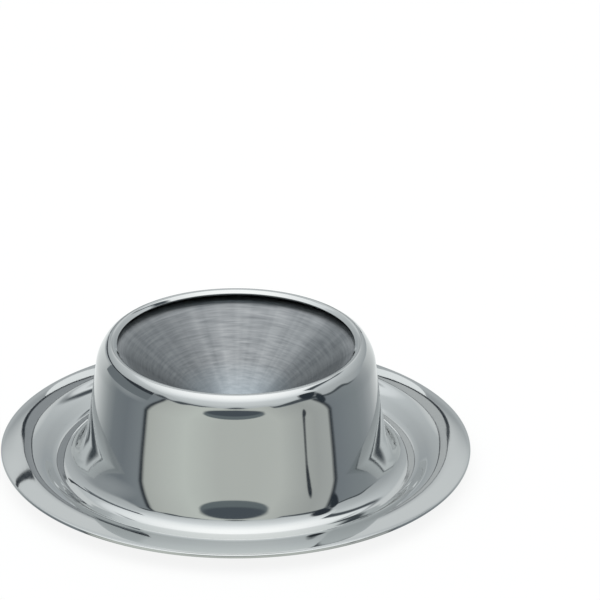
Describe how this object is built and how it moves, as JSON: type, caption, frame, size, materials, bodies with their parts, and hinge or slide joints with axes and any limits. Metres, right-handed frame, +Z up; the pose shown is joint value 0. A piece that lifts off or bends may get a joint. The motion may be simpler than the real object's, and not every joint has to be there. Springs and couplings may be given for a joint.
{
  "type": "egg cup",
  "caption": "Low egg cup with a built-in saucer: a mirror-polished pressed shell with a rolled rim and a satin-brushed conical bowl that the egg sits in.",
  "frame": {"origin": "on the table under the middle of the cup, in the plane of the flat ring that the cup stands on", "axes": "+Z up along the cup's axis of symmetry; X and Y lie in the table's plane and are free, because the whole object is round; the picture looks along +Y and down"},
  "size_m": [0.0852, 0.0852, 0.024],
  "materials": {
    "mirror_steel": "mirror-polished stainless steel sheet",
    "satin_steel": "satin stainless steel, brushed in circles round the axis"
  },
  "bodies": {
    "root": {"outer_shell": "mirror_steel", "egg_bowl": "satin_steel"}
  },
  "joints": []
}
